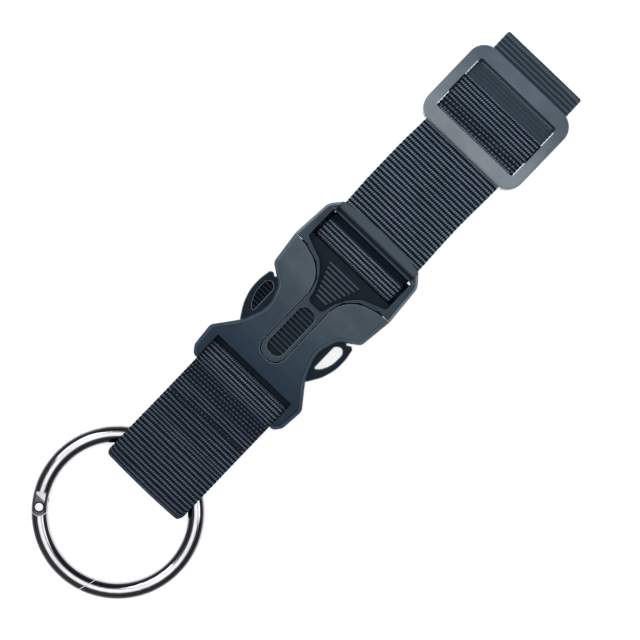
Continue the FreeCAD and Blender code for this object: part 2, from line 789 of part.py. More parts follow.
def build_left_web(body, base):
    """A thin plate with upright ribs that closes the left prong's window."""
    hole = side_points("hole")
    pad(body, "left_web", [hole], "dims.web_thickness", "(%s + dims.web_drop)" % base)
    y_low = "(%s - dims.web_overlap)" % out("hole", "hole_bottom")
    y_high = "(%s + dims.web_reach)" % out("hole", "hole_bottom")
    ribs = []
    for index in range(WEB_RIBS):
        x_low = "(%s + dims.web_rib_start + %d * dims.web_rib_pitch)" % (along("hole", "point"), index)
        x_high = "(%s + dims.web_rib_width)" % x_low
        ribs.append([(x_low, y_low), (x_high, y_low), (x_high, y_high), (x_low, y_high)])
    pad(body, "left_web_ribs", ribs, "dims.web_rib_height", "(%s + dims.web_drop / 2)" % base)


def build_prong(label, side):
    body = new_body(label)
    base = "((dims.buckle_height - dims.prong_height) / 2)"
    turn = (lambda expression: expression) if side > 0 else negative
    outside = [(at, turn(off)) for at, off in side_points("prong")]
    hole = [(at, turn(off)) for at, off in side_points("hole")]
    pad(body, label + "_outline", [outside, hole], "dims.prong_height", base)
    round_outline(body, "prong", (side,))
    round_outline(body, "hole", (side,))
    low = value(base)
    heights = (low, low + value("dims.prong_height"))
    root_x = value(along("prong", "root_block"))

    def is_hoop_rim(edge):
        box = edge.BoundBox
        flat = box.ZLength < 0.001 and min(abs(box.ZMin - height) for height in heights) < 0.001
        return flat and box.XMax < root_x - 1 and box.XLength > 0.3

    round_edges(body, label + "_rim", "dims.prong_rounding", is_hoop_rim)
    if side > 0:
        build_left_web(body, base)


build_prong("plug_prong_left", 1)
build_prong("plug_prong_right", -1)


def build_slider():
    body = plain_body("slider_moulding")
    half_length = "(dims.slider_length / 2)"
    half = "(%s + dims.slider_margin)" % HALF_WIDTH
    base = "(%s - dims.passage_clearance - dims.slider_centre_height)" % STRAP_BOTTOM
    face = "(%s + dims.slider_front_height)" % PASSAGE_TOP
    depth = "(%s - %s)" % (face, base)
    x_low = "(%s - %s)" % (SLIDER, half_length)
    x_high = "(%s + %s)" % (SLIDER, half_length)
    pad(body, "slider_outline", [rectangle(x_low, x_high, half)], depth, base)
    round_edges(body, "slider_corners", "dims.slider_corner", is_upright)
    top = value(face)

    def is_rim(edge):
        box = edge.BoundBox
        return box.ZLength < 0.001 and abs(box.ZMin - top) < 0.001

    round_edges(body, "slider_rim", "dims.slider_edge_fillet", is_rim)
    window_half = "(%s + dims.slider_window_margin)" % HALF_WIDTH
    window_low = "(%s + dims.slider_bar)" % x_low
    window_high = "(%s - dims.slider_bar)" % x_high
    pocket(body, "slider_window", [rectangle(window_low, window_high, window_half)], face, depth)
    window_x = (value(window_low), value(window_high))

    def is_window_corner(edge):
        near = min(abs(edge.CenterOfMass.x - window_x[0]), abs(edge.CenterOfMass.x - window_x[1]))
        return is_upright(edge) and near < 0.01

    round_edges(body, "slider_window_round", "dims.slider_window_corner", is_window_corner)
    passage_half = "(%s + dims.passage_margin)" % HALF_WIDTH
    passage = rectangle("(%s - 1)" % x_low, "(%s + 1)" % x_high, passage_half)
    pocket(body, "slider_passage", [passage], PASSAGE_TOP, "(%s - %s)" % (PASSAGE_TOP, base))
    bar = box_at(
        "slider_bar", "(%s - dims.slider_centre_bar / 2)" % SLIDER,
        "(-1 * %s - 0.5)" % window_half, base,
        "dims.slider_centre_bar", "(2 * %s + 1)" % window_half, "dims.slider_centre_height",
    )
    finish_part(joined("strap_slider", body, [bar]))


build_slider()


# --- Gate ring -----------------------------------------------------------------------------------------
def polar(radius, angle):
    return ("(%s * cos(%s))" % (radius, angle), "(%s * sin(%s))" % (radius, angle))


def gate_sector(name, nose_angle):
    """Everything on the gate's side of the rivet, up to the slanted nose."""
    inner = "(dims.ring_mean_radius - dims.gate_cut_reach)"
    outer = "(dims.ring_mean_radius + dims.gate_cut_reach)"
    middle_angle = "((dims.hinge_angle + %s) / 2)" % nose_angle
    corners = [
        polar(inner, "(%s + dims.nose_slant)" % nose_angle),
        polar(inner, "dims.hinge_angle"),
        polar(outer, "dims.hinge_angle"),
        polar("dims.gate_cut_far", middle_angle),
        polar(outer, "(%s - dims.nose_slant)" % nose_angle),
    ]
    body = plain_body(name)
    pad(body, name + "_pad", [corners], "(2 * %s)" % LEVEL)
    return body


def torus(name):
    ring = doc.addObject("Part::Torus", name)
    bind(ring, Radius1="dims.ring_mean_radius", Radius2="dims.wire_radius", Placement__Base__z=LEVEL)
    return ring


def post(name, radius, z_low, height):
    """An upright cylinder on the rivet's axis."""
    cylinder = doc.addObject("Part::Cylinder", name)
    bind(
        cylinder,
        Radius=radius,
        Height=height,
        Placement__Base__x=RIVET_X,
        Placement__Base__y=RIVET_Y,
        Placement__Base__z=z_low,
    )
    return cylinder


def combine(kind, name, base, tool):
    result = doc.addObject(kind, name)
    result.Base = base
    result.Tool = tool
    return result


def tangent_block(name, back, forward, z_low, z_high):
    """A block along the wire at the rivet: back is towards the ring's body, forward the gate's way."""
    half = "(dims.wire_radius + 1)"
    block = doc.addObject("Part::Box", name)
    angle = "(dims.hinge_angle + 90)"
    bind(
        block,
        Length="(%s + %s)" % (back, forward),
        Width="(2 * %s)" % half,
        Height="(%s - %s)" % (z_high, z_low),
        Placement__Base__x="(%s - %s * cos(%s) + %s * sin(%s))" % (RIVET_X, back, angle, half, angle),
        Placement__Base__y="(%s - %s * sin(%s) - %s * cos(%s))" % (RIVET_Y, back, angle, half, angle),
        Placement__Base__z=z_low,
        Placement__Rotation__Angle=angle,
    )
    block.Placement.Rotation.Axis = FreeCAD.Vector(0, 0, 1)
    return block


def laid_along_wire(part, start):
    """Turn a part built along +Z so it runs back along the wire from the rivet, and move it there."""
    away = "(dims.hinge_angle - 90)"
    part.Placement.Rotation = FreeCAD.Rotation(value(away), 90, 0)
    bind(
        part,
        Placement__Base__x="(%s + %s * cos(%s) - %s)" % (RIVET_X, start, away, MIDDLE),
        Placement__Base__y="(%s + %s * sin(%s))" % (RIVET_Y, start, away),
        Placement__Base__z=LEVEL,
    )
    return part


def upright_cylinder(name, radius, height):
    cylinder = doc.addObject("Part::Cylinder", name)
    bind(cylinder, Radius=radius, Height=height)
    return cylinder


def spring_bore():
    bore = upright_cylinder("spring_bore", "dims.spring_bore_radius", "dims.spring_bore_length")
    laid_along_wire(bore, "dims.wire_radius")
    bore.setExpression("Placement.Base.x", "(%s + dims.wire_radius * cos(dims.hinge_angle - 90))" % RIVET_X)
    return bore


def build_ring():
    knuckle = "dims.wire_radius"
    slot_low = "(%s - dims.slot_half_height)" % LEVEL
    slot_high = "(%s + dims.slot_half_height)" % LEVEL
    cheek_top = "(%s + dims.cheek_height)" % LEVEL
    cheek_bottom = "(%s - dims.cheek_height)" % LEVEL
    full_height = "(2 * %s)" % LEVEL
    reach = "(dims.wire_radius + dims.knuckle_clearance)"

    # The body: the whole wire less the gate's share, with round cheeks past the rivet.
    sector = gate_sector("body_sector", "(dims.nose_angle + dims.nose_gap)")
    kept = combine("Part::Cut", "body_arc", torus("body_torus"), sector)
    cheeks = combine("Part::Common", "body_cheeks", torus("cheek_torus"),
                     post("cheek_post", knuckle, "0", full_height))
    arc = joined("body_wire", kept, [cheeks])
    slot_back = "(dims.wire_radius + dims.knuckle_clearance)"
    tools = [
        tangent_block("fork_slot", slot_back, "5", slot_low, slot_high),
        tangent_block("upper_flat", "dims.cheek_length", "5", cheek_top, full_height),
        tangent_block("lower_flat", "dims.cheek_length", "5", "0", cheek_bottom),
        post("body_rivet_hole", "(dims.rivet_radius + dims.rivet_clearance)", "0", full_height),
        spring_bore(),
    ]
    shape = arc
    for number, tool in enumerate(tools):
        label = "ring_body" if number == len(tools) - 1 else "body_cut_%d" % number
        shape = combine("Part::Cut", label, shape, tool)
    shape.Label = "ring_body"
    finish_part(shape)

    # The gate: the rest of the wire, hollowed round the cheeks, with a flat tongue on the rivet.
    wire = combine("Part::Common", "gate_wire", torus("gate_torus"),
                   gate_sector("gate_sector", "(dims.nose_angle)"))
    cleared = combine("Part::Cut", "gate_cleared", wire, post("gate_relief", reach, "0", full_height))
    slab_low = "(%s - dims.tongue_half_height)" % LEVEL
    slab_height = "(2 * dims.tongue_half_height)"
    disc = combine("Part::Common", "gate_disc", torus("disc_torus"),
                   post("disc_post", knuckle, slab_low, slab_height))
    cam = combine("Part::Cut", "gate_cam", disc,
                  tangent_block("knuckle_flat_cut", "(2 * dims.wire_radius)", "(-1 * dims.knuckle_flat)",
                                "0", full_height))
    neck_slab = tangent_block("neck_slab", "0", "(dims.wire_radius + 1)", slab_low,
                              "(%s + dims.tongue_half_height)" % LEVEL)
    neck = combine("Part::Common", "gate_neck", torus("neck_torus"), neck_slab)
    gate = joined("gate_blank", cleared, [cam, neck])
    hole = post("gate_rivet_hole", "(dims.rivet_radius + dims.rivet_clearance)", "0", full_height)
    drilled = combine("Part::Cut", "ring_gate", gate, hole)
    drilled.Label = "ring_gate"
    finish_part(drilled)

    # The rivet, with a low head on each flat.
    shank = post("rivet_shank", "dims.rivet_radius", cheek_bottom, "(2 * dims.cheek_height)")
    upper = post("rivet_head", "dims.rivet_head_radius", cheek_top, "dims.rivet_head_height")
    lower = post("rivet_foot", "dims.rivet_head_radius",
                 "(%s - dims.rivet_head_height)" % cheek_bottom, "dims.rivet_head_height")
    finish_part(joined("gate_pivot_pin", shank, [upper, lower]))


build_ring()


def build_gate_spring():
    """The plunger bears on the flat of the gate's knuckle; the coil spring behind it fills the bore."""
    plunger_start = "(dims.knuckle_flat + dims.plunger_gap)"
    blank = upright_cylinder("plunger_blank", "dims.plunger_radius", "dims.plunger_length")
    plunger = doc.addObject("Part::Compound", "gate_plunger")
    plunger.Label = "gate_plunger"
    plunger.Links = [blank]
    laid_along_wire(plunger, plunger_start)

    helix = doc.addObject("Part::Helix", "spring_helix")
    bind(helix, Radius="dims.spring_radius", Pitch="dims.spring_pitch", Height="dims.spring_length")
    section = doc.addObject("Part::Circle", "spring_section")
    section.Placement.Rotation = FreeCAD.Rotation(FreeCAD.Vector(1, 0, 0), 90)
    bind(section, Radius="dims.spring_wire_radius", Placement__Base__x="dims.spring_radius")
    coil = doc.addObject("Part::Sweep", "spring_coil")
    coil.Sections = [section]
    coil.Spine = (helix, ["Edge1"])
    coil.Solid = True
    coil.Frenet = True
    spring = doc.addObject("Part::Compound", "gate_spring")
    spring.Label = "gate_spring"
    spring.Links = [coil]
    laid_along_wire(spring, "(%s + dims.plunger_length + dims.spring_gap + dims.spring_wire_radius)"
                    % plunger_start)


build_gate_spring()

doc.recompute()

NODES = (
    "ring_body",
    "ring_gate",
    "gate_pivot_pin",
    "gate_plunger",
    "gate_spring",
    "ring_strap_loop",
    "ring_strap",
    "ring_strap_bartack",
    "ring_strap_stitches",
    "buckle_socket",
    "buckle_plug",
    "plug_prong_left",
    "plug_prong_right",
    "loop_strap",
    "loop_seam_stitches",
    "strap_slider",
)


def write_parts():
    os.makedirs("parts", exist_ok=True)
    for item in doc.Objects:
        if "Invalid" in item.State or "Error" in item.State:
            raise RuntimeError(item.Name + " is in state " + str(item.State))
    for node in NODES:
        item = doc.getObjectsByLabel(node)[0]
        if item.Shape.isNull() or not item.Shape.isValid():
            raise RuntimeError(node + " has no valid shape")
        item.Shape.exportStep("parts/%s.step" % node)


write_parts()
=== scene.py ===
import json
import math

import bmesh
import bpy
import numpy as np
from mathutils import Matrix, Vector, noise


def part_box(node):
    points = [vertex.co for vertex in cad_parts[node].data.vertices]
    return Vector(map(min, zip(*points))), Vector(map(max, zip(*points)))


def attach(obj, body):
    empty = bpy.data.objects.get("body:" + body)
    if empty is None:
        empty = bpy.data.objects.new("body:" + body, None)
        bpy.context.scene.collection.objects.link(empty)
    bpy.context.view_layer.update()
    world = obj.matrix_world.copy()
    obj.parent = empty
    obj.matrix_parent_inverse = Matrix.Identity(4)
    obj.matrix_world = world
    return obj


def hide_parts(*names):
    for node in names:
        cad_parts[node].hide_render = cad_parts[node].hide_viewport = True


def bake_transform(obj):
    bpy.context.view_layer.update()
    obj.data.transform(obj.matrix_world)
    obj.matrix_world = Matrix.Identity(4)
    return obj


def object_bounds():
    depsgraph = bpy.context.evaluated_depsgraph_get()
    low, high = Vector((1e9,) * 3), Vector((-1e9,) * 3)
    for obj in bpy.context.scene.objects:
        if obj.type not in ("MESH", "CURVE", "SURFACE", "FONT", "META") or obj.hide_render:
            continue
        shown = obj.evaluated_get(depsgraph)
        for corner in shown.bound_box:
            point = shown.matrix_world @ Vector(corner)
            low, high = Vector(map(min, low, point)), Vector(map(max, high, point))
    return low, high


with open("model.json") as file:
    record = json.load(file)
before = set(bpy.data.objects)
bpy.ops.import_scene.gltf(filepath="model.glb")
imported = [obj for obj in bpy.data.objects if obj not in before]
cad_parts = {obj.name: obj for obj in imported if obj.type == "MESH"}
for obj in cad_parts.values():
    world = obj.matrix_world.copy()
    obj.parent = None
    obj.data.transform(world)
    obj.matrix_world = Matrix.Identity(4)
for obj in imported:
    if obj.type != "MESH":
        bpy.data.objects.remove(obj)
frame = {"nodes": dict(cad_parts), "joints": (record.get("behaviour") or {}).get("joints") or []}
CAD_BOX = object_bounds()
nodes = frame["nodes"]
joints = {joint["name"]: joint for joint in frame["joints"]}

MM = 0.001


# --- Sizes read from the CAD, in millimetres -------------------------------------------------------
def box(node):
    low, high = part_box(node)
    return low / MM, high / MM


def pivot(name):
    return Vector(joints[name]["pos_m"]) / MM


RING = pivot("ring_turn")
BAR = pivot("ring_strap_swing")
LEVEL = RING.z
RIVET = pivot("gate_open")
HALF_WIDTH = box("ring_strap")[1].y
LOOP_LOW, LOOP_HIGH = box("loop_strap")
RING_FOLD = box("ring_strap_loop")[0].x
SLIDER_LOW, SLIDER_HIGH = box("strap_slider")
SOCKET_LOW = box("buckle_socket")[0].x
PLUG_HIGH = box("buckle_plug")[1].x

# Webbing and ring, in millimetres
WEB = 1.3
LAYER_GAP = 0.1
STACK = LAYER_GAP / 2 + WEB / 2
WIRE = (box("ring_gate")[1].z - box("ring_gate")[0].z) / 2
WIRE_CLEARANCE = 0.25
RING_MEAN_RADIUS = 23.6
RING_BEND = WIRE + WIRE_CLEARANCE + WEB / 2
RING_OUTER = RING_MEAN_RADIUS + WIRE
RING_TAPER_START = 0.4
RING_TAPER_END = 4.05

# How the webbing goes round the buckle's two bars, in millimetres
SOCKET_BAR_BEND = 2.8
PLUG_BAR_BEND = 2.5
BAR_TANGENT = 0.25
BAR_WEDGE = 5.4
SLIDER_BAR = 4.8


# --- Node helpers ----------------------------------------------------------------------------------
class Nodes:
    """Short calls for building a material's node tree."""

    def __init__(self, name):
        self.material = bpy.data.materials.new(name)
        self.material.use_nodes = True
        self.tree = self.material.node_tree
        self.tree.nodes.clear()
        self.output = self.tree.nodes.new("ShaderNodeOutputMaterial")
        self.shader = self.tree.nodes.new("ShaderNodeBsdfPrincipled")
        self.tree.links.new(self.shader.outputs[0], self.output.inputs[0])

    def new(self, kind, **values):
        node = self.tree.nodes.new(kind)
        for key, value in values.items():
            setattr(node, key, value)
        return node

    def put(self, socket, value):
        if isinstance(value, bpy.types.NodeSocket):
            self.tree.links.new(value, socket)
        else:
            socket.default_value = value

    def math(self, operation, first, second=0.0, third=None):
        node = self.new("ShaderNodeMath", operation=operation)
        self.put(node.inputs[0], first)
        self.put(node.inputs[1], second)
        if third is not None:
            self.put(node.inputs[2], third)
        return node.outputs[0]

    def times(self, first, second):
        return self.math("MULTIPLY", first, second)

    def plus(self, first, second):
        return self.math("ADD", first, second)

    def smooth(self, value, low, high, to_low=0.0, to_high=1.0):
        node = self.new("ShaderNodeMapRange", interpolation_type="SMOOTHSTEP")
        for socket, number in zip(node.inputs, (value, low, high, to_low, to_high)):
            self.put(socket, number)
        return node.outputs[0]

    def within(self, value, rise, fall):
        """1 between two ramps given in millimetres, and 0 outside them."""
        up = self.smooth(value, rise[0] * MM, rise[1] * MM)
        return self.times(up, self.smooth(value, fall[1] * MM, fall[0] * MM))

    def half_wave(self, angle):
        """A sine of the angle, from 0 to 1."""
        return self.math("MULTIPLY_ADD", self.math("SINE", angle), 0.5, 0.5)

    def mix(self, factor, first, second):
        node = self.new("ShaderNodeMix", data_type="RGBA")
        self.put(node.inputs[0], factor)
        self.put(node.inputs[6], first)
        self.put(node.inputs[7], second)
        return node.outputs[2]

    def noise(self, vector, scale, detail=2.0, roughness=0.5):
        node = self.new("ShaderNodeTexNoise")
        self.put(node.inputs["Vector"], vector)
        self.put(node.inputs["Scale"], scale)
        self.put(node.inputs["Detail"], detail)
        self.put(node.inputs["Roughness"], roughness)
        return node.outputs["Fac"]

    def bump(self, height, strength, distance):
        node = self.new("ShaderNodeBump")
        self.put(node.inputs["Strength"], strength)
        self.put(node.inputs["Distance"], distance)
        self.put(node.inputs["Height"], height)
        return node.outputs["Normal"]

    def object_position(self):
        return self.new("ShaderNodeTexCoord").outputs["Object"]

    def facing_up(self):
        """How far the surface faces up in the piece's own frame, from -1 to 1."""
        return self.parts(self.new("ShaderNodeTexCoord").outputs["Normal"])[2]

    def parts(self, vector):
        node = self.new("ShaderNodeSeparateXYZ")
        self.put(node.inputs[0], vector)
        return node.outputs[0], node.outputs[1], node.outputs[2]

    def stretched(self, vector, scale):
        node = self.new("ShaderNodeMapping")
        self.put(node.inputs["Vector"], vector)
        self.put(node.inputs["Scale"], scale)
        return node.outputs["Vector"]

    def attribute(self, name):
        return self.new("ShaderNodeAttribute", attribute_name=name).outputs["Fac"]

    def set(self, **values):
        for key, value in values.items():
            self.put(self.shader.inputs[key.replace("_", " ")], value)


# --- Materials -------------------------------------------------------------------------------------
TURN = 2 * math.pi

# The webbing's pale crest colours and near-black gap colours are a painted highlight on the rib crests
# and painted shade between the ribs. WEB_HAZE evens out the gaps where plain is set; on the slider's
# webbing and on the back face that is painted shade.
WEB_CREST = (0.30, 0.40, 0.50, 1.0)
WEB_CREST_WARM = (0.33, 0.385, 0.49, 1.0)
WEB_GAP = (0.003, 0.009, 0.019, 1.0)
WEB_GAP_LIGHT = (0.009, 0.022, 0.040, 1.0)
WEB_HAZE = (0.064, 0.096, 0.126, 1.0)
THREAD_DARK = (0.003, 0.007, 0.014, 1.0)
THREAD_LIGHT = (0.030, 0.044, 0.064, 1.0)
BEAD_PITCH = 0.74
DOT_PITCH = 1.35

# PLASTIC_SHADE is the darker tone of the plastic's clouds and flow marks. HOLLOW_TINT is painted shade
# in the hollows and on the shaded ribs. EDGE_TINT and SLIDER_EDGE_TINT are painted highlights on the
# rounded edges, and RIB_TINT is a painted highlight on the ribs. BAR_TINT is the end bar's paler
# colour, and it also paints a highlight line along the bar's ledge.
PLASTIC_SHADE = (0.004, 0.012, 0.028, 1.0)
HOLLOW_TINT = (0.002, 0.010, 0.022, 1.0)
BAR_TINT = (0.085, 0.125, 0.150, 1.0)
EDGE_TINT = (0.25, 0.31, 0.37, 1.0)
SLIDER_EDGE_TINT = (0.55, 0.60, 0.64, 1.0)
RIB_TINT = (0.095, 0.130, 0.165, 1.0)

SIDE_SHADE = (0.012, 0.012, 0.015, 1.0)
# The darker ring round the rivet, and the darker flat it sits on.
RIVET_RING_DARK = (0.010, 0.010, 0.013, 1.0)
FLAT_DARK = (0.030, 0.030, 0.036, 1.0)

# Heights and reaches of the plastic's zones of painted shade and painted highlight, in millimetres.
# LEDGE_BACK counts from the start of the end bar, and RIB_ZONE_END from where the ribs turn from
# painted shade to painted highlight.
HOLLOW_TOP = 8.0
HOLLOW_BOTTOM = 7.4
EDGE_BLEND = 0.06
BAR_BLEND = 0.3
BAR_LIFT = 2.0
LEDGE_BACK = ((-1.95, -1.8), (-1.45, -1.3))
LEDGE_LEVEL = (6.7, 6.9)
RIB_LEVEL = ((7.36, 7.5), (8.65, 8.75))
RIB_HALF_REACH = (6.4, 6.6)
RIB_ZONE_END = (17.5, 18.0)
FUNNEL_BLEND = 3.0


def webbing_material():
    """Ribbed woven webbing. The UV map holds millimetres across (u) and ribs along (v).

    Point attributes set how light the ribs are (gain), how dotted (dots), and how flat and hazy
    (plain).
    Gain and plain hold painted shade where the loop runs in under the plug's window, where it slopes
    down under the plug's end bar, where the slider's webbing slopes down past its centre bar, and on
    the back face.
    """
    m = Nodes("webbing")
    uv = m.new("ShaderNodeUVMap", uv_map="weave").outputs[0]
    across, along, _ = m.parts(uv)
    phase = m.math("FRACT", along)
    row = m.math("FLOOR", along)
    from_crest = m.math("ABSOLUTE", m.math("SUBTRACT", phase, 0.5))
    ragged = m.noise(m.stretched(uv, (2.6, 1.6, 1.0)), 1.0, 2.0, 0.6)
    from_crest = m.plus(from_crest, m.math("MULTIPLY_ADD", ragged, 0.24, -0.12))
    crest = m.smooth(from_crest, 0.29, 0.17)
    lean = m.plus(across, m.plus(m.times(phase, 0.55), m.times(row, 0.31)))
    bead = m.half_wave(m.times(lean, TURN / BEAD_PITCH))
    grain = m.noise(m.stretched(uv, (3.4, 6.0, 1.0)), 1.0, 3.0, 0.6)
    patches = m.noise(m.stretched(uv, (0.09, 0.10, 1.0)), 1.0, 2.0)
    dot = m.half_wave(m.plus(m.times(across, TURN / DOT_PITCH), m.times(row, 2.4)))
    dotted = m.times(m.attribute("dots"), dot)
    light = m.times(crest, m.math("MULTIPLY_ADD", bead, 0.95, 0.10))
    light = m.times(light, m.math("MULTIPLY_ADD", grain, 1.2, 0.45))
    light = m.times(light, m.math("SUBTRACT", 1.0, m.times(dotted, 0.8)))
    # gain and plain darken the ribs: painted shade where the loop meets the plug's window, on the
    # slider's webbing past its centre bar, and on the back face.
    light = m.times(light, m.attribute("gain"))
    light = m.times(light, m.math("MULTIPLY_ADD", m.attribute("plain"), -0.85, 1.0))
    light = m.times(light, m.smooth(patches, 0.3, 0.7, 0.86, 1.12))
    # Pale crests over dark gaps: a painted highlight on the crests and painted shade between the ribs.
    crest_colour = m.mix(patches, WEB_CREST, WEB_CREST_WARM)
    gap_colour = m.mix(grain, WEB_GAP, WEB_GAP_LIGHT)
    # Where plain is set the gaps turn hazy: painted shade on the slider's webbing and on the back face.
    wear_and_shade = m.times(m.attribute("plain"), m.attribute("gain"))
    haze = m.times(wear_and_shade, m.plus(grain, 0.5))
    gap_colour = m.mix(haze, gap_colour, WEB_HAZE)
    height = m.plus(m.times(bead, crest), m.times(grain, 0.7))
    m.set(
        Base_Color=m.mix(light, gap_colour, crest_colour),
        Roughness=m.smooth(grain, 0.2, 0.8, 0.7, 0.95),
        Specular_IOR_Level=0.12,
        Sheen_Weight=0.03,
        Sheen_Roughness=0.4,
        Normal=m.bump(height, 0.6, 0.00014),
    )
    return m.material


def thread_material():
    """Twisted sewing thread. The UV map holds millimetres along it (u) and turns round it (v)."""
    m = Nodes("thread")
    uv = m.new("ShaderNodeUVMap", uv_map="weave").outputs[0]
    along, around, _ = m.parts(uv)
    twist = m.half_wave(m.times(m.plus(m.times(along, 2.2), around), TURN))
    fuzz = m.noise(m.object_position(), 3000.0, 2.0)
    m.set(
        Base_Color=m.mix(m.times(twist, m.plus(fuzz, 0.3)), THREAD_DARK, THREAD_LIGHT),
        Roughness=m.smooth(fuzz, 0.3, 0.7, 0.6, 0.8),
        Specular_IOR_Level=0.2,
        Sheen_Weight=0.05,
        Normal=m.bump(m.plus(twist, fuzz), 0.6, 0.00008),
    )
    return m.material


def plastic_material(name, tones, roughness, edge_tint, edge_level, bar_from=None, ribs_from=None):
    """Satin moulded plastic: fine spark texture, faint flow marks, painted shade in hollows and painted
    highlights on edges.

    tones are (x, colour) pairs along the part. Edges above edge_level get a paler painted highlight.
    bar_from is the x where a part's paler end bar begins, behind its ledge, which gets a painted
    highlight line. ribs_from is the x where the grip ribs turn from painted shade to a painted
    highlight.
    The shaded hollows and the paler edges are painted tones, which deepen what the lights already do.
    """
    m = Nodes(name)
    place = m.object_position()
    x, y, z = m.parts(place)
    facing_up = m.facing_up()
    spark = m.noise(place, 4200.0, 2.0, 0.6)
    cloud = m.noise(place, 70.0, 3.0, 0.6)
    flow = m.noise(m.stretched(place, (70.0, 26.0, 70.0)), 1.0, 3.0, 0.55)
    scuff = m.noise(m.stretched(place, (260.0, 900.0, 260.0)), 1.0, 4.0, 0.7)
    tone = m.math("MULTIPLY_ADD", cloud, 0.55, m.times(flow, 0.45))
    base = tones[0][1]
    for (start, _), (end, colour) in zip(tones, tones[1:]):
        base = m.mix(m.smooth(x, start * MM, end * MM), base, colour)
    base = m.mix(m.smooth(tone, 0.36, 0.64, 0.0, 0.34), base, PLASTIC_SHADE)
    top = z
    if bar_from is not None:
        bar = m.smooth(x, bar_from * MM, (bar_from + BAR_BLEND) * MM)
        base = m.mix(m.times(bar, 0.9), base, BAR_TINT)
        top = m.plus(z, m.times(bar, BAR_LIFT * MM))
    upward = m.smooth(facing_up, 0.3, 0.8)
    hollow = m.times(m.smooth(top, HOLLOW_TOP * MM, HOLLOW_BOTTOM * MM), upward)
    base = m.mix(m.times(hollow, 0.86), base, HOLLOW_TINT)
    # A paler line along the end bar's ledge: a painted highlight.
    if bar_from is not None:
        rise, fall = [[bar_from + offset for offset in ramp] for ramp in LEDGE_BACK]
        ledge = m.within(x, rise, fall)
        ledge = m.times(ledge, m.smooth(z, LEDGE_LEVEL[0] * MM, LEDGE_LEVEL[1] * MM))
        base = m.mix(m.times(ledge, 0.8), base, BAR_TINT)
    if ribs_from is not None:
        from_centre = m.math("ABSOLUTE", y)
        zone_end = [ribs_from + offset for offset in RIB_ZONE_END]
        rib = m.within(z, *RIB_LEVEL)
        rib = m.times(rib, m.smooth(from_centre, RIB_HALF_REACH[1] * MM, RIB_HALF_REACH[0] * MM))
        rib = m.times(rib, m.smooth(x, zone_end[1] * MM, zone_end[0] * MM))
        # Ribs before ribs_from get painted shade, and ribs past it get a painted highlight.
        rib_highlight_zone = m.smooth(x, ribs_from * MM, (ribs_from + FUNNEL_BLEND) * MM)
        shaded = m.math("MULTIPLY_ADD", rib_highlight_zone, -0.5, 0.5)
        base = m.mix(m.times(rib, shaded), base, HOLLOW_TINT)
        base = m.mix(m.times(m.times(rib, rib_highlight_zone), 0.9), base, RIB_TINT)
    # Tilted faces near the top, the rounded edges, get a painted highlight, broken up by the scuff
    # noise.
    tilted = m.times(m.smooth(facing_up, 0.93, 0.75), m.smooth(facing_up, 0.02, 0.2))
    edge = m.times(tilted, m.smooth(z, (edge_level - EDGE_BLEND) * MM, edge_level * MM))
    edge = m.times(edge, m.smooth(scuff, 0.2, 0.6, 0.65, 1.0))
    base = m.mix(m.times(edge, 0.92), base, edge_tint)
    rough = m.smooth(scuff, 0.35, 0.75, roughness - 0.04, roughness + 0.08)
    rough = m.plus(rough, m.times(spark, 0.06))
    m.set(
        Base_Color=base,
        Roughness=m.plus(rough, m.times(hollow, 0.25)),
        Specular_IOR_Level=0.2,
        Normal=m.bump(m.plus(spark, m.times(scuff, 0.4)), 0.14, 0.00005),
    )
    return m.material


# The darker ring round the rivet, and the darker flat it sits on, in millimetres. FLAT_SHINE is
# where a painted reflection brightens that flat.
RIVET_RING = ((1.1, 1.2), (1.55, 1.85))
RIVET_RING_LEVEL = (1.8, 2.0)
FLAT_LEVEL = ((2.06, 2.11), (2.17, 2.21))
FLAT_REACH = (7.5, 8.5)
FLAT_SHINE = ((2.0, 2.6), (3.6, 4.6))

# How far up the surface faces where the dark band along the wire's sides ends, at its top and its rim
SIDE_TOP = (0.93, 0.84)
SIDE_RIM = (0.44, 0.62)


